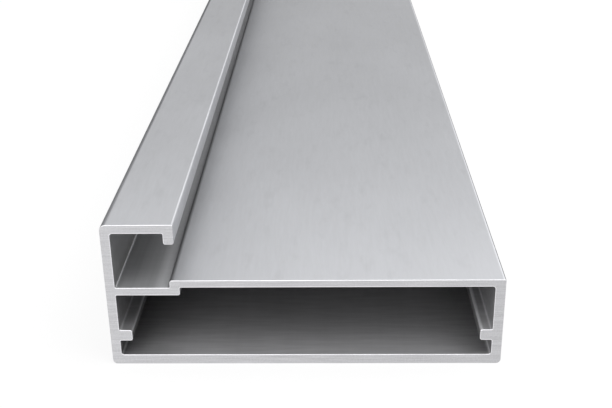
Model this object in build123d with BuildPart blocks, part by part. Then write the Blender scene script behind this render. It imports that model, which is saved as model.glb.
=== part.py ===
from build123d import *
import os

# Aluminium glazing profile: one extruded bar, lying on its base plate. A wide flat chamber carries
# a glazing channel along its left edge. X runs across the section, Y along the bar and Z up. The
# origin is the middle of the base, and every size is in millimetres.

# The bar as a whole
bar_length = 1000.0
bar_width = 80.0
bar_height = 31.85

# Chamber: base plate below, deck plate above, the channel's wall at the left and the plain one at the right
channel_side_wall = 2.0
plain_side_wall = 2.15
base_thickness = 2.2
deck_height = 19.55
deck_thickness = 1.65

# Cleat ribs: a rib on each side wall holds a corner cleat down on the base plate, and the tips stand
# equally far in from the bar's two side faces
cleat_gap = 3.35
rib_thickness = 2.5
rib_tip_inset = 4.6

# Glazing channel: a floor stepped down from the deck, a head plate above and a lip that hangs from it
step_drop = 1.65
step_inset = 12.9
step_web = 2.1
channel_floor_thickness = 1.75
head_reach = 14.45
head_thickness = 1.95
lip_thickness = 2.15
lip_drop = 2.4

# Corner radii of the die, from the full outer corners to the tight inner ones
base_corner_radius = 0.9
head_corner_radius = 0.8
lip_corner_radius = 0.4
tip_radius = 0.55
step_radius = 0.5
deck_edge_radius = 0.3
cavity_radius = 0.5
root_radius = 0.25

# Broken edge round both sawn ends
end_chamfer = 0.1

# Places across the section, from the middle of the base
left_face = -bar_width / 2
right_face = bar_width / 2
left_wall = left_face + channel_side_wall
right_wall = right_face - plain_side_wall
left_rib_tip = left_face + rib_tip_inset
right_rib_tip = right_face - rib_tip_inset
step_outer = left_face + step_inset
step_inner = step_outer + step_web
lip_outer = left_face + head_reach
lip_inner = lip_outer - lip_thickness

# Heights in the section, from the underside of the base
rib_underside = base_thickness + cleat_gap
rib_top = rib_underside + rib_thickness
deck_underside = deck_height - deck_thickness
channel_floor = deck_height - step_drop
channel_floor_underside = channel_floor - channel_floor_thickness
head_underside = bar_height - head_thickness
lip_end = head_underside - lip_drop

# Corners of the outline with their radii, anticlockwise from the left foot and into the channel
outline_corners = [
    ((left_face, 0), base_corner_radius),
    ((right_face, 0), base_corner_radius),
    ((right_face, deck_height), deck_edge_radius),
    ((step_outer, deck_height), step_radius),
    ((step_outer, channel_floor), root_radius),
    ((left_wall, channel_floor), root_radius),
    ((left_wall, head_underside), cavity_radius),
    ((lip_inner, head_underside), root_radius),
    ((lip_inner, lip_end), tip_radius),
    ((lip_outer, lip_end), tip_radius),
    ((lip_outer, bar_height), lip_corner_radius),
    ((left_face, bar_height), head_corner_radius),
]

# Corners of the chamber with their radii, anticlockwise from the left foot and round both ribs
chamber_corners = [
    ((left_wall, base_thickness), cavity_radius),
    ((right_wall, base_thickness), cavity_radius),
    ((right_wall, rib_underside), root_radius),
    ((right_rib_tip, rib_underside), tip_radius),
    ((right_rib_tip, rib_top), tip_radius),
    ((right_wall, rib_top), root_radius),
    ((right_wall, deck_underside), cavity_radius),
    ((step_inner, deck_underside), root_radius),
    ((step_inner, channel_floor_underside), step_radius),
    ((left_wall, channel_floor_underside), root_radius),
    ((left_wall, rib_top), root_radius),
    ((left_rib_tip, rib_top), tip_radius),
    ((left_rib_tip, rib_underside), tip_radius),
    ((left_wall, rib_underside), root_radius),
]


def draw_loop(corners):
    """Draws a closed loop of straight runs, each corner rounded to the radius beside it."""
    points = [point for point, _ in corners]
    radii = [radius for _, radius in corners]
    FilletPolyline(*points, radius=radii, close=True)


# The bar: the section is drawn upright at mid-length and pushed out both ways
with BuildPart() as glazing_profile:
    with BuildSketch(Plane.XZ) as section:
        with BuildLine() as outline:
            draw_loop(outline_corners)
        make_face()
        with BuildLine() as chamber:
            draw_loop(chamber_corners)
        make_face(mode=Mode.SUBTRACT)
    extrude(amount=bar_length / 2, both=True)
    sawn_ends = glazing_profile.faces().filter_by(Plane.XZ)
    chamfer(sawn_ends.edges(), length=end_chamfer)

glazing_profile.part.label = "glazing_profile"
os.makedirs("parts", exist_ok=True)
export_step(glazing_profile.part, "parts/glazing_profile.step")
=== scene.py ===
import math

import bpy
import numpy as np
from mathutils import Matrix, Vector
from mathutils.geometry import tessellate_polygon


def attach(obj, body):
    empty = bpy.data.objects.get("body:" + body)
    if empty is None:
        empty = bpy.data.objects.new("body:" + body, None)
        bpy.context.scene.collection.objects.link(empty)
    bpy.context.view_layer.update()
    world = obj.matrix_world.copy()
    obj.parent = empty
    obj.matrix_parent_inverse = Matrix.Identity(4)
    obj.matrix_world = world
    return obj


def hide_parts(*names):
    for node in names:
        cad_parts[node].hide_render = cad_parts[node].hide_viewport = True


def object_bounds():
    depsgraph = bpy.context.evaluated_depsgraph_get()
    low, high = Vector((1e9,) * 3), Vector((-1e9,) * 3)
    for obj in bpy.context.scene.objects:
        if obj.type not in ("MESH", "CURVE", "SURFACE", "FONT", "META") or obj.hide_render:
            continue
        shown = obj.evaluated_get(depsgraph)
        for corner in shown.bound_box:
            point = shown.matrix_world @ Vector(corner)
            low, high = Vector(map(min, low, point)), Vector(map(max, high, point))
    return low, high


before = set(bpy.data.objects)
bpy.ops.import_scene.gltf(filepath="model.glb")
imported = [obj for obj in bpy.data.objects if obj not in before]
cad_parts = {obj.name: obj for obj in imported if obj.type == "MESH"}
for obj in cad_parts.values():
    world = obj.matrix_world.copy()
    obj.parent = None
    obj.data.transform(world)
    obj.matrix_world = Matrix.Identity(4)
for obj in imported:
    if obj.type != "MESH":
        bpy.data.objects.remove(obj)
cad_low, cad_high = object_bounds()

# Lengths are in metres, and the section's sizes are written in millimetres times this
MM = 0.001

# Overall sizes, read from the frame
WIDTH = cad_high.x - cad_low.x
HEIGHT = cad_high.z - cad_low.z
LENGTH = cad_high.y - cad_low.y

# Walls of the section
CHANNEL_SIDE_WALL = 2.0 * MM
PLAIN_SIDE_WALL = 2.15 * MM
BASE_THICKNESS = 2.2 * MM
DECK_HEIGHT = 19.55 * MM
DECK_THICKNESS = 1.65 * MM
CLEAT_GAP = 3.35 * MM
RIB_THICKNESS = 2.5 * MM
RIB_TIP_INSET = 4.6 * MM
STEP_DROP = 1.65 * MM
STEP_INSET = 12.9 * MM
STEP_WEB = 2.1 * MM
CHANNEL_FLOOR_THICKNESS = 1.75 * MM
HEAD_REACH = 14.45 * MM
HEAD_THICKNESS = 1.95 * MM
LIP_THICKNESS = 2.15 * MM
LIP_DROP = 2.4 * MM

# Corner radii of the section. The head's corner and the step's edge are a little fuller here than in the
# packed bar, as a close look at the sawn end shows them
BASE_CORNER = 0.9 * MM
HEAD_CORNER = 1.2 * MM
LIP_CORNER = 0.4 * MM
TIP = 0.55 * MM
STEP_CORNER = 0.5 * MM
STEP_EDGE = 0.65 * MM
DECK_EDGE = 0.3 * MM
CAVITY = 0.5 * MM
ROOT = 0.25 * MM

# Narrow flat round each sawn end, left where its sharp edge was taken off, and the rim of painted
# highlight
# inside it: its width along an edge that faces up and along one that faces down
END_BREAK = 0.1 * MM
RIM_ABOVE = 0.03 * MM
RIM_BELOW = 0.2 * MM

# Painted light on the sawn edges, from -1 for painted shade to 1 for painted highlight: of the rim round
# an opening, where it faces sideways, and how much that changes as it turns up or down; of the narrow
# flat, as a part of the rim's; and the painted shade of the narrow flat where it lies round an opening and
# doesn't face up
OPENING_HIGHLIGHT = 0.8
OPENING_TURN = 0.2
BREAK_SHARE = 0.3
BREAK_SHADE = -0.9
FACES_UP = 0.5

# Mesh of the bar
TURN_STEPS = 8
RUN_SPACING = 3.0 * MM
EDGE_FADE = 0.35 * MM
STATION_SPACING = 25.0 * MM

# Finishes of the bar, as places in its list of materials
SKIN = 0
OUTER_CORNER = 1
CHANNEL = 2
CHANNEL_WALL = 3
CHAMBER = 4
SAWN = 5

# Painted light of a corner: on the run before it, at four places round its turn and on the run after it,
# where 1 is a painted highlight and -1 painted shade; HANDLED alone is rubbing on the base's corners. On a
# run it fades away over CORNER_MASK_FADE, or by the run's other end
CORNER_MASK_FADE = 16.0 * MM
PLAIN = (0, 0, 0, 0, 0, 0)
HANDLED = (0, 0, 0.3, 0.3, 0, 0)
# Painted highlights along the chamber's rib roots, with faint painted shade on the runs beside them
LEFT_ROOT_HIGHLIGHT = (-0.12, 0.2, 0.3, 0.1, 0.05, -0.05)
RIGHT_ROOT_HIGHLIGHT = (-0.15, 0, 0, 0.2, 0.28, -0.2)
# Painted highlight along the channel floor's root at its side wall
CHANNEL_ROOT = (0, 0.15, 1.2, 0.3, 0, 0)
# Painted shade along the chamber floor's corners, with a painted highlight in the right one's turn
LEFT_FOOT = (-0.5, -0.6, -0.15, 0.05, -0.6, -0.85)
RIGHT_FOOT = (-0.25, 0, 0.4, 0.05, -0.55, -0.72)
# Painted shade under the rib tips, then painted highlight round the tips with painted shade beside them
LEFT_TIP_BELOW = (0, -0.3, -0.6, -0.8, -0.8, -0.8)
RIGHT_TIP_BELOW = (-0.9, -0.9, -0.7, -0.4, -0.2, 0)
LEFT_TIP = (-0.8, 0.2, 0.35, 0, -0.1, -0.12)
RIGHT_TIP = (-0.1, 0.3, 0.65, 0.1, -0.7, -0.9)
# Painted highlight along the lip's top corner
HIGHLIGHT_LINE = (0, 0.1, 0.5, 1, 0, 0)
# Painted highlight over painted shade round the deck's outer edge
HIGHLIGHT_OVER_SHADE = (0, -0.5, -1, -0.9, 1, 0)
# Painted shade round the head's outer corner, and on the lip's lower corner and face
SHADED_SIDE = (0, -0.15, -0.42, -0.32, -0.1, 0)
LIP_FACE = (0, 0, 0, -0.1, -0.2, -0.3)
# Painted shade round the step's edge and in the channel floor's root below it
SHADED_STEP = (0, -0.5, -0.75, -0.75, -0.75, -0.5)
SHADED_ROOT = (-0.5, -0.5, -0.5, -0.5, -0.4, 0)

# Depth from a sawn end over which the inside carries painted light where light falls in at the open end,
# and painted shade beside the chamber's wall on the channel's side
END_LIGHT_REACH = 25.0 * MM

# Painted light on the strip of the channel's floor that lies open under the mouth, where light falls in:
# where it starts and where it is full, as parts of the way across the bar
MOUTH_START = 0.12
MOUTH_FULL = 0.14

# Painted shade inside the chamber near its ends, beside its wall on the channel's side: where it is full
# and where it ends, as parts of the way across
WALL_SHADE_FULL = 0.03
WALL_SHADE_NONE = 0.2

# Noise values between which a stain grows from nothing to full
STAIN_START = 0.56
STAIN_FULL = 0.76

# Tones of the metal, as linear colour
SKIN_TONE = (0.6, 0.608, 0.632)
END_TONE = (0.579, 0.578, 0.594)
CHAMBER_TONE = (0.497, 0.496, 0.508)
# The channel's tones, darker than the chamber's and darker still on its side wall, are painted shade on
# the mill finish
CHANNEL_TONE = (0.345, 0.348, 0.356)
CHANNEL_WALL_TONE = (0.285, 0.285, 0.287)

# Changes of a tone where it is fully stained, where its painted highlight (with rubbing on the base's
# corners) is full and where its painted shade is full, as parts of the tone
SKIN_STAINED = -0.05
SKIN_HIGHLIGHT_AND_WEAR = 0.2
SKIN_PAINTED_SHADE = -0.75
END_HIGHLIGHT = 0.7
END_PAINTED_SHADE = -0.8
INSIDE_PAINTED_SHADE = -0.75

# How much of a metal each finish is, and how much less the skin is under its painted highlight lines
SKIN_METALLIC = 0.9
SKIN_LINE_METALLIC = -0.75
END_METALLIC = 1.0
INSIDE_METALLIC = 0.6

# How far each finish spreads its reflections across the grain
SKIN_SPREAD = 0.8
END_SPREAD = 0.3
INSIDE_SPREAD = 0.6

# Roughness of each finish, and how much smoother the inside is under its painted highlights
SKIN_ROUGHNESS = 0.45
END_ROUGHNESS = 0.42
INSIDE_ROUGHNESS = 0.5
ROOT_SMOOTHER = -0.3

# How far the tone of the skin, of the sawn ends and of the inside sways between the least and the most of
# its lines, clouds or marks, and from one side of the bar to the other: on the skin that sway is painted
# light, brighter towards the plain side, and the sawn ends grow darker towards it. The skin's sways about
# its middle
SKIN_MIDDLE = 1.02
SKIN_LINES = 0.16
SKIN_CLOUDS = 0.16
SKIN_SIDE_LIGHT = 0.07
END_MARKS = 0.6
END_GRIT = 0.3
END_ACROSS = -0.07
INSIDE_CLOUDS = 0.15

# The same for a roughness
SKIN_LINES_ROUGH = 0.12
SKIN_CLOUDS_ROUGH = 0.05
END_MARKS_ROUGH = 0.15
INSIDE_LINES_ROUGH = 0.15

# Depths of the brushed lines, the saw's marks and the die's chatter
LINE_DEPTH = 0.004 * MM
SAW_DEPTH = 0.006 * MM
CHATTER_DEPTH = 0.008 * MM

# Width of the photograph's frame, in pixels
FRAME_WIDTH = 612


def section_corners():
    """Corners of the outline and of the chamber, solid always to the left.

    Each corner has its place, its radius, the finishes of its turn and of the run after it, and its
    painted highlight and shade, with rubbing on the base's corners.
    """
    left, right = cad_low.x, cad_high.x
    left_wall, right_wall = left + CHANNEL_SIDE_WALL, right - PLAIN_SIDE_WALL
    left_tip, right_tip = left + RIB_TIP_INSET, right - RIB_TIP_INSET
    step_outer = left + STEP_INSET
    step_inner = step_outer + STEP_WEB
    lip_outer = left + HEAD_REACH
    lip_inner = lip_outer - LIP_THICKNESS
    channel_floor = DECK_HEIGHT - STEP_DROP
    floor_underside = channel_floor - CHANNEL_FLOOR_THICKNESS
    deck_underside = DECK_HEIGHT - DECK_THICKNESS
    head_underside = HEIGHT - HEAD_THICKNESS
    lip_end = head_underside - LIP_DROP
    rib_underside = BASE_THICKNESS + CLEAT_GAP
    rib_top = rib_underside + RIB_THICKNESS
    outline = [
        (left, 0, BASE_CORNER, SKIN, SKIN, HANDLED),
        (right, 0, BASE_CORNER, SKIN, SKIN, HANDLED),
        (right, DECK_HEIGHT, DECK_EDGE, OUTER_CORNER, SKIN, HIGHLIGHT_OVER_SHADE),
        (step_outer, DECK_HEIGHT, STEP_EDGE, SKIN, CHANNEL, SHADED_STEP),
        (step_outer, channel_floor, ROOT, CHANNEL, CHANNEL, SHADED_ROOT),
        (left_wall, channel_floor, ROOT, CHANNEL, CHANNEL_WALL, CHANNEL_ROOT),
        (left_wall, head_underside, CAVITY, CHANNEL, CHANNEL, PLAIN),
        (lip_inner, head_underside, ROOT, CHANNEL, CHANNEL, PLAIN),
        (lip_inner, lip_end, TIP, CHANNEL, SKIN, PLAIN),
        (lip_outer, lip_end, TIP, SKIN, SKIN, LIP_FACE),
        (lip_outer, HEIGHT, LIP_CORNER, SKIN, SKIN, HIGHLIGHT_LINE),
        (left, HEIGHT, HEAD_CORNER, OUTER_CORNER, SKIN, SHADED_SIDE),
    ]
    chamber = [
        (left_wall, BASE_THICKNESS, CAVITY, LEFT_FOOT),
        (left_wall, rib_underside, ROOT, PLAIN),
        (left_tip, rib_underside, TIP, LEFT_TIP_BELOW),
        (left_tip, rib_top, TIP, LEFT_TIP),
        (left_wall, rib_top, ROOT, LEFT_ROOT_HIGHLIGHT),
        (left_wall, floor_underside, ROOT, PLAIN),
        (step_inner, floor_underside, STEP_CORNER, PLAIN),
        (step_inner, deck_underside, ROOT, PLAIN),
        (right_wall, deck_underside, CAVITY, PLAIN),
        (right_wall, rib_top, ROOT, RIGHT_ROOT_HIGHLIGHT),
        (right_tip, rib_top, TIP, RIGHT_TIP),
        (right_tip, rib_underside, TIP, RIGHT_TIP_BELOW),
        (right_wall, rib_underside, ROOT, PLAIN),
        (right_wall, BASE_THICKNESS, CAVITY, RIGHT_FOOT),
    ]
    return outline, [(*corner[:3], CHAMBER, CHAMBER, corner[3]) for corner in chamber]


def rounded_loop(corners):
    """Closed loop of a section with its square corners rounded.

    It gives points, outward directions, finishes, corner mask, rim mask, break mask and rim width.
    Each corner becomes a quarter turn about a centre that lies one radius back along the run that
    arrives and one radius on along the run that leaves. A point of it is the centre plus the radius
    times (sin t of the arriving direction minus cos t of the leaving one), for t from 0 to a quarter
    turn. Runs get points at EDGE_FADE from each turn and about every RUN_SPACING between.
    The corner mask follows each corner's values round its turn: painted highlight and shade, and rubbing
    on the base's corners. On a run it is the corner's value times the square of (1 - distance / reach).
    The rim mask says how bright the painted highlight on the rim in the sawn face is: outside, the upward
    part of the outward direction, as if lit from above, and round an opening more. The break mask says it
    of the narrow flat, which carries painted shade round an opening where it doesn't face up. The rim's
    width grows from RIM_ABOVE to
    RIM_BELOW as the edge turns from up to down.
    """
    table = np.array([corner[:3] for corner in corners])
    place, radius = table[:, :2], table[:, 2:]
    arriving = place - np.roll(place, 1, axis=0)
    arriving = arriving / np.linalg.norm(arriving, axis=1, keepdims=True)
    leaving = np.roll(arriving, -1, axis=0)
    centre = place + radius * (leaving - arriving)
    t = np.linspace(0, math.pi / 2, TURN_STEPS + 1)[None, :, None]
    spoke = np.sin(t) * arriving[:, None] - np.cos(t) * leaving[:, None]
    turn = centre[:, None] + radius[:, None] * spoke
    heading = np.cos(t) * arriving[:, None] + np.sin(t) * leaving[:, None]
    turned = np.linspace(0, 1, TURN_STEPS + 1)
    points, headings, corner_mask, finishes = [], [], [], []
    for i, corner in enumerate(corners):
        points.append(turn[i])
        headings.append(heading[i])
        corner_mask.append(np.interp(turned, np.linspace(0, 1, 4), corner[5][1:5]))
        finishes.append(np.full(TURN_STEPS, corner[3]))
        start, end = turn[i, -1], turn[(i + 1) % len(corners), 0]
        run = np.linalg.norm(end - start)
        fade = min(EDGE_FADE, run / 3)
        count = max(2, int(round((run - 2 * fade) / RUN_SPACING)) + 1)
        inner = np.linspace(fade, run - fade, count)
        points.append(start + leaving[i] * inner[:, None])
        headings.append(np.repeat(leaving[i][None], len(inner), axis=0))
        reach = min(CORNER_MASK_FADE, run)
        after = corner[5][5] * np.maximum(0, 1 - inner / reach) ** 2
        before = corners[(i + 1) % len(corners)][5][0] * np.maximum(0, 1 - (run - inner) / reach) ** 2
        corner_mask.append(after + before)
        finishes.append(np.full(len(inner) + 1, corner[4]))
    points = np.concatenate(points)
    headings = np.concatenate(headings)
    finishes = np.concatenate(finishes)
    outward = np.stack([headings[:, 1], -headings[:, 0]], axis=1)
    upward = outward[:, 1]
    round_opening = finishes >= CHANNEL
    # Rim: painted highlight, brighter where it faces up; break: painted shade round an opening where not
    # facing up
    rim_mask = np.where(round_opening, OPENING_HIGHLIGHT + OPENING_TURN * upward, np.maximum(upward, 0))
    rim_width = RIM_ABOVE + (RIM_BELOW - RIM_ABOVE) * (1 - upward) / 2
    break_mask = np.where(round_opening & (upward < FACES_UP), BREAK_SHADE, BREAK_SHARE * rim_mask)
    return points, outward, finishes, np.concatenate(corner_mask), rim_mask, break_mask, rim_width


def bar_stations():
    """Stations along the bar.

    They give place, inset of the section, lean of its normals to the end, rim widths in and rim's share.
    At each end a flat rim lies in the sawn face, one rim's width wide, and then a narrow flat takes the
    edge off: for t from 0 to 1 the place is END_BREAK * t from the end and the inset is END_BREAK *
    (1 - t). Its normals lean by 45 degrees, and turn to the end's own direction and to the side's within
    its first and last 12 percent. The rim's share fades away over the innermost fifth of its width.
    """
    t = np.array([0.0, 0.0, 0.0, 0.12, 0.88, 1.0])
    lean = np.radians([90.0, 90.0, 90.0, 45.0, 45.0, 0.0])
    widths_in = np.array([1.0, 0.8, 0.0, 0.0, 0.0, 0.0])
    rim = np.array([0.0, 1.0, 1.0, 0.0, 0.0, 0.0])
    inset = END_BREAK * (1 - t)
    near = cad_low.y + END_BREAK * t
    far = cad_high.y - END_BREAK * t[::-1]
    count = int(round((LENGTH - 2 * END_BREAK) / STATION_SPACING))
    middle = np.linspace(near[-1], far[0], count + 1)[1:-1]
    flat = np.zeros(len(middle))
    place = np.concatenate([near, middle, far])
    inset, widths_in, rim = (np.concatenate([part, flat, part[::-1]]) for part in (inset, widths_in, rim))
    lean = np.concatenate([-lean, flat, lean[::-1]])
    return place, inset, lean, widths_in, rim


def sweep_loop(loop, stations, first):
    """Carries a loop of the section along the stations.

    It gives vertices, normals, edge mask, faces, finishes, map and the two end rings.
    A vertex is the loop's point less the inset and the rim's width along its outward direction, at the
    station's place. Its normal is cos(lean) of the outward direction plus sin(lean) of the bar's axis.
    In the map, u is the distance walked round the loop and v is the place along the bar. The rim in the
    sawn face has that face's finish and map.
    """
    points, outward, finishes, corner_mask, rim_mask, break_mask, rim_width = loop
    place, inset, lean, widths_in, rim = stations
    inwards = inset[:, None] + widths_in[:, None] * rim_width[None]
    across = points[None] - inwards[:, :, None] * outward[None]
    along = np.repeat(place[:, None], len(points), axis=1)
    vertices = np.stack([across[..., 0], along, across[..., 1]], axis=-1)
    tilt = np.cos(lean)[:, None, None] * outward[None]
    end_lean = np.repeat(np.sin(lean)[:, None], len(points), axis=1)
    normals = np.stack([tilt[..., 0], end_lean, tilt[..., 1]], axis=-1)
    at_end = np.abs(lean) > 0
    broken = at_end & (np.abs(lean) < math.pi / 2)
    edge = np.where(at_end[:, None], rim[:, None] * rim_mask[None], corner_mask[None])
    edge = np.where(broken[:, None], break_mask[None], edge)
    index = first + np.arange(len(place) * len(points)).reshape(len(place), len(points))
    onward = np.roll(index, -1, axis=1)
    faces = np.stack([index[:-1], index[1:], onward[1:], onward[:-1]], axis=-1)
    sides = np.linalg.norm(np.roll(points, -1, axis=0) - points, axis=1)
    walked = np.concatenate([[0], np.cumsum(sides)])
    here = np.repeat(walked[None, :-1], len(place) - 1, axis=0)
    there = np.repeat(walked[None, 1:], len(place) - 1, axis=0)
    u = np.stack([here, here, there, there], axis=-1)
    near, far = along[:-1], along[1:]
    v = np.stack([near, far, far, near], axis=-1)
    grain_map = np.stack([u, v], axis=-1)
    worked = at_end[:-1] | at_end[1:]
    finish = np.where(worked[:, None], SAWN, finishes[None])
    flat_end = at_end[:-1] & at_end[1:] & (place[:-1] == place[1:])
    grain_map[flat_end] = vertices.reshape(-1, 3)[faces[flat_end] - first][..., [2, 0]]
    vertices, normals, faces = vertices.reshape(-1, 3), normals.reshape(-1, 3), faces.reshape(-1, 4)
    rings = (index[0], index[-1])
    return vertices, normals, edge.ravel(), faces, finish.ravel(), grain_map.reshape(-1, 2), rings


def end_faces(vertices, rings, towards):
    """Triangles that close one sawn end between the outline's ring and the chamber's ring."""
    order = np.concatenate(rings)
    loops = [[Vector((vertices[i][0], vertices[i][2], 0)) for i in ring] for ring in rings]
    triangles = order[np.array(tessellate_polygon(loops))]
    a, b, c = (vertices[triangles[:, k]] for k in range(3))
    wrong = np.cross(b - a, c - a)[:, 1] * towards < 0
    triangles[wrong] = triangles[wrong][:, ::-1]
    return triangles


def make_bar():
    """The whole bar: the outline and the chamber carried along Y, and a flat sawn face at each end."""
    stations = bar_stations()
    outline, chamber = section_corners()
    outside = sweep_loop(rounded_loop(outline), stations, 0)
    inside = sweep_loop(rounded_loop(chamber), stations, len(outside[0]))
    joined = (np.concatenate(pair) for pair in zip(outside[:6], inside[:6]))
    vertices, normals, edge, quads, finish, grain_map = joined
    rings = outside[6], inside[6]
    near = end_faces(vertices, [ring[0] for ring in rings], -1)
    far = end_faces(vertices, [ring[1] for ring in rings], 1)
    caps = np.concatenate([near, far])
    cap_map = vertices[caps.ravel()][:, [2, 0]]
    mesh = bpy.data.meshes.new("glazing_bar")
    mesh.from_pydata(vertices.tolist(), [], quads.tolist() + caps.tolist())
    mesh.polygons.foreach_set("use_smooth", np.ones(len(mesh.polygons), bool))
    mesh.polygons.foreach_set("material_index", np.concatenate([finish, np.full(len(caps), SAWN)]))
    grain = mesh.uv_layers.new(name="grain")
    grain.data.foreach_set("uv", np.concatenate([grain_map, cap_map]).astype(np.float32).ravel())
    mesh.attributes.new("edge", "FLOAT", "POINT").data.foreach_set("value", edge.astype(np.float32))
    mesh.normals_split_custom_set_from_vertices(normals.tolist())
    mesh.update()
    bar = bpy.data.objects.new("glazing_bar", mesh)
    bpy.context.scene.collection.objects.link(bar)
    return bar


def shared_group(name, inputs, outputs):
    """Starts a shader node group with value sockets of these names.

    It gives the group, its input node and its output node.
    """
    group = bpy.data.node_groups.new(name, "ShaderNodeTree")
    for label in inputs:
        group.interface.new_socket(name=label, in_out="INPUT", socket_type="NodeSocketFloat")
    for label in outputs:
        group.interface.new_socket(name=label, in_out="OUTPUT", socket_type="NodeSocketFloat")
    return group, group.nodes.new("NodeGroupInput"), group.nodes.new("NodeGroupOutput")


def connect(tree, source, target):
    """Feeds a node's input from another node's output, or sets it to a plain number or tuple."""
    if isinstance(source, bpy.types.NodeSocket):
        tree.links.new(source, target)
    else:
        target.default_value = source


def arithmetic(tree, operation, *values, clamp=False):
    """One Math node: the result of the operation on the values."""
    node = tree.nodes.new("ShaderNodeMath")
    node.operation = operation
    node.use_clamp = clamp
    for value, socket in zip(values, node.inputs):
        connect(tree, value, socket)
    return node.outputs[0]


def stretched_noise(tree, place, per_metre, detail, roughness):
    """Noise whose cells are 1 / per_metre long along X, Y and Z, as a value from 0 to 1."""
    cells = tree.nodes.new("ShaderNodeCombineXYZ")
    for value, socket in zip(per_metre, cells.inputs):
        connect(tree, value, socket)
    scaled = tree.nodes.new("ShaderNodeVectorMath")
    scaled.operation = "MULTIPLY"
    tree.links.new(place, scaled.inputs[0])
    tree.links.new(cells.outputs[0], scaled.inputs[1])
    noise = tree.nodes.new("ShaderNodeTexNoise")
    noise.inputs["Scale"].default_value = 1.0
    noise.inputs["Detail"].default_value = detail
    noise.inputs["Roughness"].default_value = roughness
    tree.links.new(scaled.outputs[0], noise.inputs["Vector"])
    return noise.outputs["Fac"]


def share_between(tree, value, start, full):
    """0 up to where the value is at the start, 1 from where it is at full on, and even in between."""
    per_unit = 1.0 / (full - start)
    return arithmetic(tree, "MULTIPLY_ADD", value, per_unit, -start * per_unit, clamp=True)


def object_place(tree):
    """The point on the bar, in metres from the bar's own origin."""
    return tree.nodes.new("ShaderNodeTexCoord").outputs["Object"]


def drawn_lines_group():
    """Fine lines along the bar, left by the die and the brush, and soft clouds of tone under them."""
    inputs = ["Lines Across", "Lines Along", "Clouds"]
    tree, given, result = shared_group("drawn_lines", inputs, ["Lines", "Clouds"])
    place = object_place(tree)
    across, along, clouds = given.outputs[0], given.outputs[1], given.outputs[2]
    lines = stretched_noise(tree, place, (across, along, across), detail=3.0, roughness=0.7)
    connect(tree, lines, result.inputs["Lines"])
    half_clouds = arithmetic(tree, "MULTIPLY", clouds, 0.5)
    cloud = stretched_noise(tree, place, (clouds, half_clouds, clouds), detail=2.0, roughness=0.5)
    connect(tree, cloud, result.inputs["Clouds"])
    return tree


def stains_group():
    """Soft dark spots of handling, 1 in the middle of a spot and 0 between the spots."""
    tree, given, result = shared_group("stains", ["Stains Across", "Stains Along"], ["Stains"])
    across, along = given.outputs[0], given.outputs[1]
    place = object_place(tree)
    patches = stretched_noise(tree, place, (across, along, across), detail=2.0, roughness=0.6)
    connect(tree, share_between(tree, patches, STAIN_START, STAIN_FULL), result.inputs["Stains"])
    return tree


def cross_marks_group():
    """Short marks across the bar: the saw's on a cut end, and chatter from the die on an inside face."""
    inputs = ["Marks Across", "Marks Along", "Grit"]
    tree, given, result = shared_group("cross_marks", inputs, ["Marks", "Grit"])
    place = object_place(tree)
    across, along, grit = given.outputs[0], given.outputs[1], given.outputs[2]
    marks = stretched_noise(tree, place, (across, along, along), detail=2.0, roughness=0.6)
    connect(tree, marks, result.inputs["Marks"])
    specks = stretched_noise(tree, place, (grit, grit, grit), detail=1.0, roughness=0.6)
    connect(tree, specks, result.inputs["Grit"])
    return tree


def edge_light_and_wear_group():
    """Painted highlight and rubbing along a corner, broken up along it, and painted shade, from the edge
    mask.
    """
    tree, given, result = shared_group("edge_light_and_wear", ["Breaks"], ["Rubbed", "Painted Shade"])
    mask = tree.nodes.new("ShaderNodeAttribute")
    mask.attribute_name = "edge"
    cells = given.outputs["Breaks"]
    breaks = stretched_noise(tree, object_place(tree), (cells, cells, cells), detail=2.0, roughness=0.6)
    least_left, left_per_noise = 0.6, 0.8
    broken = arithmetic(tree, "MULTIPLY_ADD", breaks, left_per_noise, least_left, clamp=True)
    bright = arithmetic(tree, "MAXIMUM", mask.outputs["Fac"], 0.0)
    connect(tree, arithmetic(tree, "MULTIPLY", bright, broken), result.inputs["Rubbed"])
    dark = arithmetic(tree, "MINIMUM", mask.outputs["Fac"], 0.0)
    connect(tree, arithmetic(tree, "MULTIPLY", dark, -1.0), result.inputs["Painted Shade"])
    return tree


def near_end_group():
    """How near a sawn end a point lies: 1 at the end and 0 from the reach on, in metres along the bar."""
    tree, given, result = shared_group("near_end", ["Half Length", "Reach"], ["Near"])
    split = tree.nodes.new("ShaderNodeSeparateXYZ")
    tree.links.new(object_place(tree), split.inputs[0])
    away = arithmetic(tree, "ABSOLUTE", split.outputs["Y"])
    depth = arithmetic(tree, "SUBTRACT", given.outputs["Half Length"], away)
    share = arithmetic(tree, "DIVIDE", depth, given.outputs["Reach"])
    connect(tree, arithmetic(tree, "SUBTRACT", 1.0, share, clamp=True), result.inputs["Near"])
    return tree


def across_width_group():
    """How far across the bar a point lies: 0 at the channel's side face and 1 at the plain side face."""
    tree, given, result = shared_group("across_width", ["Width"], ["Across"])
    split = tree.nodes.new("ShaderNodeSeparateXYZ")
    tree.links.new(object_place(tree), split.inputs[0])
    share = arithmetic(tree, "DIVIDE", split.outputs["X"], given.outputs["Width"])
    connect(tree, arithmetic(tree, "ADD", share, 0.5), result.inputs["Across"])
    return tree


def place_group(tree, group, values):
    """Puts a shared group into a material with its own values. Those of a noise are in cells per metre."""
    node = tree.nodes.new("ShaderNodeGroup")
    node.node_tree = group
    for label, value in values.items():
        node.inputs[label].default_value = value
    return node.outputs


def sway(tree, base, *parts):
    """A value that sways about a base.

    It is the base plus, for each (source, gain), the gain times the source less a half.
    """
    total = base
    for source, gain in parts:
        away = arithmetic(tree, "SUBTRACT", source, 0.5)
        total = arithmetic(tree, "MULTIPLY_ADD", away, gain, total)
    return total


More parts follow.
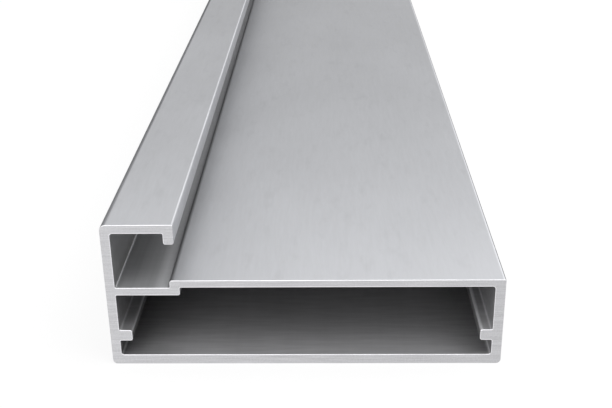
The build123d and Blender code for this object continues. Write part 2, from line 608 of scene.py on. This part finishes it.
def tinted(tree, tone, factor):
    """A tone of metal times a factor that changes over the surface."""
    mix = tree.nodes.new("ShaderNodeMix")
    mix.data_type = "RGBA"
    mix.blend_type = "MULTIPLY"
    mix.inputs["Factor"].default_value = 1.0
    # Sockets 6 and 7 of the node take its two colours, and its output 2 is the mixed one
    mix.inputs[6].default_value = (*tone, 1)
    grey = tree.nodes.new("ShaderNodeCombineColor")
    for socket in grey.inputs:
        tree.links.new(factor, socket)
    tree.links.new(grey.outputs[0], mix.inputs[7])
    return mix.outputs[2]


def start_metal(name, metallic, anisotropic):
    """A metal whose reflections spread across its grain: the map's u runs across the grain."""
    material = bpy.data.materials.new(name)
    material.use_nodes = True
    tree = material.node_tree
    shader = tree.nodes["Principled BSDF"]
    shader.inputs["Metallic"].default_value = metallic
    shader.inputs["Anisotropic"].default_value = anisotropic
    tangent = tree.nodes.new("ShaderNodeTangent")
    tangent.direction_type = "UV_MAP"
    tangent.uv_map = "grain"
    tree.links.new(tangent.outputs[0], shader.inputs["Tangent"])
    return material, tree, shader


def bump(tree, shader, height, distance):
    """Feeds the shader's normal from a height."""
    node = tree.nodes.new("ShaderNodeBump")
    node.inputs["Distance"].default_value = distance
    node.inputs["Strength"].default_value = 1.0
    tree.links.new(height, node.inputs["Height"])
    tree.links.new(node.outputs[0], shader.inputs["Normal"])


def brushed_skin_material(name, edge_on):
    """Outer faces: satin metal brushed along the bar, faint clouds, stains, painted light and rubbing on
    corners.

    The grey value edge_on is the tint of what it mirrors where it is seen nearly edge-on.
    """
    material, tree, shader = start_metal(name, SKIN_METALLIC, SKIN_SPREAD)
    shader.inputs["Specular Tint"].default_value = (edge_on, edge_on, edge_on, 1)
    fine = place_group(tree, drawn_lines, {"Lines Across": 1300.0, "Lines Along": 130.0, "Clouds": 45.0})
    stained = place_group(tree, stains, {"Stains Across": 330.0, "Stains Along": 110.0})["Stains"]
    edge_outputs = place_group(tree, edge_light_and_wear, {"Breaks": 300.0})
    across = place_group(tree, across_width, {"Width": WIDTH})["Across"]
    clouds = fine["Clouds"]
    # Its sway from side to side is painted light, brighter towards the plain side
    tone = sway(tree, SKIN_MIDDLE, (fine["Lines"], SKIN_LINES), (clouds, SKIN_CLOUDS),
                (across, SKIN_SIDE_LIGHT))
    tone = arithmetic(tree, "MULTIPLY_ADD", stained, SKIN_STAINED, tone)
    # Painted highlight, with rubbing on the base's corners, and painted shade from the edge mask
    tone = arithmetic(tree, "MULTIPLY_ADD", edge_outputs["Rubbed"], SKIN_HIGHLIGHT_AND_WEAR, tone)
    tone = arithmetic(tree, "MULTIPLY_ADD", edge_outputs["Painted Shade"], SKIN_PAINTED_SHADE, tone)
    connect(tree, tinted(tree, SKIN_TONE, tone), shader.inputs["Base Color"])
    rough = sway(tree, SKIN_ROUGHNESS, (fine["Lines"], SKIN_LINES_ROUGH), (clouds, SKIN_CLOUDS_ROUGH))
    connect(tree, rough, shader.inputs["Roughness"])
    metallic = arithmetic(tree, "MULTIPLY_ADD", edge_outputs["Rubbed"], SKIN_LINE_METALLIC, SKIN_METALLIC)
    connect(tree, metallic, shader.inputs["Metallic"])
    bump(tree, shader, fine["Lines"], LINE_DEPTH)
    return material


def sawn_end_material():
    """Cut ends: saw marks lying nearly level, grit between them, a rim of painted highlight, a break of
    painted shade.
    """
    material, tree, shader = start_metal("sawn_end", END_METALLIC, END_SPREAD)
    saw = {"Marks Across": 110.0, "Marks Along": 4200.0, "Grit": 3200.0}
    marks = place_group(tree, cross_marks, saw)
    edge_outputs = place_group(tree, edge_light_and_wear, {"Breaks": 900.0})
    across = place_group(tree, across_width, {"Width": WIDTH})["Across"]
    tone = sway(tree, 1.0, (marks["Marks"], END_MARKS), (marks["Grit"], END_GRIT), (across, END_ACROSS))
    # Painted highlight on the rim and painted shade on the break round openings
    tone = arithmetic(tree, "MULTIPLY_ADD", edge_outputs["Rubbed"], END_HIGHLIGHT, tone)
    tone = arithmetic(tree, "MULTIPLY_ADD", edge_outputs["Painted Shade"], END_PAINTED_SHADE, tone)
    connect(tree, tinted(tree, END_TONE, tone), shader.inputs["Base Color"])
    rough = sway(tree, END_ROUGHNESS, (marks["Marks"], END_MARKS_ROUGH))
    connect(tree, rough, shader.inputs["Roughness"])
    bump(tree, shader, marks["Marks"], SAW_DEPTH)
    return material


def mill_inside_material(name, metal_tone, line_gain, chatter_gain, root_gain, end_light_gain,
                         mouth_light_gain=0.0, wall_shade_gain=0.0):
    """Inside faces as they came from the die: duller metal, drawn lines, chatter marks, painted light at
    roots.

    Each gain is a change of the tone: for the lines, the chatter, the painted highlight on roots and rib
    tips, the painted light near the open end, the painted light on the strip that lies open under the
    mouth, and the painted shade near the end beside the channel's side wall.
    """
    material, tree, shader = start_metal(name, INSIDE_METALLIC, INSIDE_SPREAD)
    drawn = {"Lines Across": 400.0, "Lines Along": 6.0, "Clouds": 60.0}
    lines = place_group(tree, drawn_lines, drawn)
    die = {"Marks Across": 90.0, "Marks Along": 900.0, "Grit": 2500.0}
    chatter = place_group(tree, cross_marks, die)
    edge_outputs = place_group(tree, edge_light_and_wear, {"Breaks": 200.0})
    near = place_group(tree, near_end, {"Half Length": LENGTH / 2, "Reach": END_LIGHT_REACH})["Near"]
    tone = sway(tree, 1.0, (lines["Lines"], line_gain), (chatter["Marks"], chatter_gain),
                (lines["Clouds"], INSIDE_CLOUDS))
    # Painted light that grows towards the open end, where light falls in
    tone = arithmetic(tree, "MULTIPLY_ADD", near, end_light_gain, tone)
    # Painted shade near the end beside the wall on the channel's side
    if wall_shade_gain:
        across = place_group(tree, across_width, {"Width": WIDTH})["Across"]
        beside_wall = share_between(tree, across, WALL_SHADE_NONE, WALL_SHADE_FULL)
        wall_shaded = arithmetic(tree, "MULTIPLY", near, beside_wall)
        tone = arithmetic(tree, "MULTIPLY_ADD", wall_shaded, wall_shade_gain, tone)
    # Painted light on the floor's strip under the mouth, where light falls in
    if mouth_light_gain:
        across = place_group(tree, across_width, {"Width": WIDTH})["Across"]
        under_mouth = share_between(tree, across, MOUTH_START, MOUTH_FULL)
        tone = arithmetic(tree, "MULTIPLY_ADD", under_mouth, mouth_light_gain, tone)
    # Painted highlight along roots and rib tips, and painted shade, from the edge mask
    tone = arithmetic(tree, "MULTIPLY_ADD", edge_outputs["Rubbed"], root_gain, tone)
    tone = arithmetic(tree, "MULTIPLY_ADD", edge_outputs["Painted Shade"], INSIDE_PAINTED_SHADE, tone)
    connect(tree, tinted(tree, metal_tone, tone), shader.inputs["Base Color"])
    rough = sway(tree, INSIDE_ROUGHNESS, (lines["Lines"], INSIDE_LINES_ROUGH))
    rough = arithmetic(tree, "MULTIPLY_ADD", edge_outputs["Rubbed"], ROOT_SMOOTHER, rough)
    connect(tree, rough, shader.inputs["Roughness"])
    bump(tree, shader, chatter["Marks"], CHATTER_DEPTH)
    return material


drawn_lines = drawn_lines_group()
stains = stains_group()
cross_marks = cross_marks_group()
edge_light_and_wear = edge_light_and_wear_group()
across_width = across_width_group()
near_end = near_end_group()

bar = make_bar()
finishes = bar.data.materials
finishes.append(brushed_skin_material("brushed_skin", edge_on=1.0))
# outer_corner is the skin with grazing reflections tinted dark: painted shade on the deck's edge and
# head's corner
finishes.append(brushed_skin_material("outer_corner", edge_on=0.2))
finishes.append(mill_inside_material("channel_inside", CHANNEL_TONE, line_gain=0.6, chatter_gain=0.2,
                                     root_gain=1.6, end_light_gain=0.22, mouth_light_gain=0.36))
# channel_wall is a darker copy of channel_inside: painted shade on the channel's side wall
finishes.append(mill_inside_material("channel_wall", CHANNEL_WALL_TONE, line_gain=0.5, chatter_gain=0.2,
                                     root_gain=1.6, end_light_gain=0.0))
finishes.append(mill_inside_material("chamber_inside", CHAMBER_TONE, line_gain=0.15, chatter_gain=0.4,
                                     root_gain=2.4, end_light_gain=0.1, wall_shade_gain=-0.3))
finishes.append(sawn_end_material())
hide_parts("glazing_profile")
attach(bar, "root")


# Floor: a white sheet that shows the bar's shadow faintly
FLOOR_REACH = 12.0
FLOOR_GREY = 0.15
FLOOR_GLOW = 0.83


def make_floor():
    """Pale floor at the level of the bar's underside, glowing towards the eye and whatever mirrors it."""
    reach = FLOOR_REACH
    mesh = bpy.data.meshes.new("floor")
    corners = [(-reach, -reach, 0), (reach, -reach, 0), (reach, reach, 0), (-reach, reach, 0)]
    mesh.from_pydata(corners, [], [(0, 1, 2, 3)])
    floor = bpy.data.objects.new("floor", mesh)
    bpy.context.scene.collection.objects.link(floor)
    material = bpy.data.materials.new("floor_white")
    material.use_nodes = True
    tree = material.node_tree
    tree.nodes.clear()
    output = tree.nodes.new("ShaderNodeOutputMaterial")
    diffuse = tree.nodes.new("ShaderNodeBsdfDiffuse")
    diffuse.inputs["Color"].default_value = (FLOOR_GREY, FLOOR_GREY, FLOOR_GREY, 1)
    path = tree.nodes.new("ShaderNodeLightPath")
    seen = arithmetic(tree, "MAXIMUM", path.outputs["Is Camera Ray"], path.outputs["Is Glossy Ray"])
    seen = arithmetic(tree, "MAXIMUM", seen, path.outputs["Is Transmission Ray"])
    glow = tree.nodes.new("ShaderNodeEmission")
    tree.links.new(arithmetic(tree, "MULTIPLY", seen, FLOOR_GLOW), glow.inputs["Strength"])
    add = tree.nodes.new("ShaderNodeAddShader")
    tree.links.new(diffuse.outputs[0], add.inputs[0])
    tree.links.new(glow.outputs[0], add.inputs[1])
    tree.links.new(add.outputs[0], output.inputs["Surface"])
    mesh.materials.append(material)


# Studio: an even pale room, and soft panels that all face a point near the bar's near end
ROOM_LEVEL = 0.537
PANEL_AIM = Vector((0, cad_low.y + 100 * MM, 20 * MM))
PANEL_DISTANCE = 1.5


def make_room():
    """Even pale light from all round."""
    world = bpy.data.worlds.new("studio")
    bpy.context.scene.world = world
    world.use_nodes = True
    back = world.node_tree.nodes["Background"]
    back.inputs["Color"].default_value = (ROOM_LEVEL, ROOM_LEVEL, ROOM_LEVEL, 1)


def make_panel(name, bearing, height, width, depth, level):
    """Soft panel in the direction of the bearing (0 is far along the bar, 90 is right) and height.

    Angles are in degrees as seen from the aim: width is across, depth is up and down, and level is how
    bright the panel's own face is.
    """
    bearing, height = math.radians(bearing), math.radians(height)
    flat = math.cos(height)
    towards = Vector((math.sin(bearing) * flat, math.cos(bearing) * flat, math.sin(height)))
    data = bpy.data.lights.new(name, "AREA")
    data.shape = "RECTANGLE"
    data.size = 2 * PANEL_DISTANCE * math.tan(math.radians(width / 2))
    data.size_y = 2 * PANEL_DISTANCE * math.tan(math.radians(depth / 2))
    data.energy = math.pi * data.size * data.size_y * level
    panel = bpy.data.objects.new(name, data)
    bpy.context.scene.collection.objects.link(panel)
    panel.location = PANEL_AIM + PANEL_DISTANCE * towards
    panel.rotation_euler = towards.to_track_quat("Z", "Y").to_euler()
    panel.visible_camera = False


make_floor()
make_room()
make_panel("left_front", bearing=-145, height=40, width=44, depth=60, level=1.83)
make_panel("right_side", bearing=110, height=55, width=54, depth=54, level=2.36)
make_panel("back_high", bearing=15, height=42, width=44, depth=24, level=1.36)

# Camera, fitted to the bar's own edges in the photograph
CAMERA_PLACE = Vector((cad_low.x + 44.89 * MM, cad_low.y - 173.2 * MM, 114.59 * MM))
FOCAL_PIXELS = 991.63
SENSOR_WIDTH = 36.0
NEAREST_SEEN = 10 * MM
PITCH = math.radians(24.345)
YAW = math.radians(-1.451)
ROLL = math.radians(-0.883)


def turn_pair(first, second, angle):
    """Two directions at right angles, turned by an angle, the first towards the second."""
    turned_first = first * math.cos(angle) + second * math.sin(angle)
    turned_second = second * math.cos(angle) - first * math.sin(angle)
    return turned_first, turned_second


def make_camera():
    """Camera at CAMERA_PLACE, looking along the bar: turned by YAW, then PITCH downwards, then ROLL."""
    ahead = Vector((math.sin(YAW), math.cos(YAW), 0))
    right = Vector((math.cos(YAW), -math.sin(YAW), 0))
    up = Vector((0, 0, 1))
    ahead, up = turn_pair(ahead, up, -PITCH)
    right, up = turn_pair(right, up, ROLL)
    data = bpy.data.cameras.new("camera")
    data.sensor_width = SENSOR_WIDTH
    data.lens = SENSOR_WIDTH * FOCAL_PIXELS / FRAME_WIDTH
    data.clip_start = NEAREST_SEEN
    camera = bpy.data.objects.new("camera", data)
    bpy.context.scene.collection.objects.link(camera)
    turn = Matrix((right, up, -ahead)).transposed()
    camera.matrix_world = Matrix.Translation(CAMERA_PLACE) @ turn.to_4x4()
    bpy.context.scene.camera = camera


make_camera()
bpy.context.scene.view_settings.view_transform = "Standard"
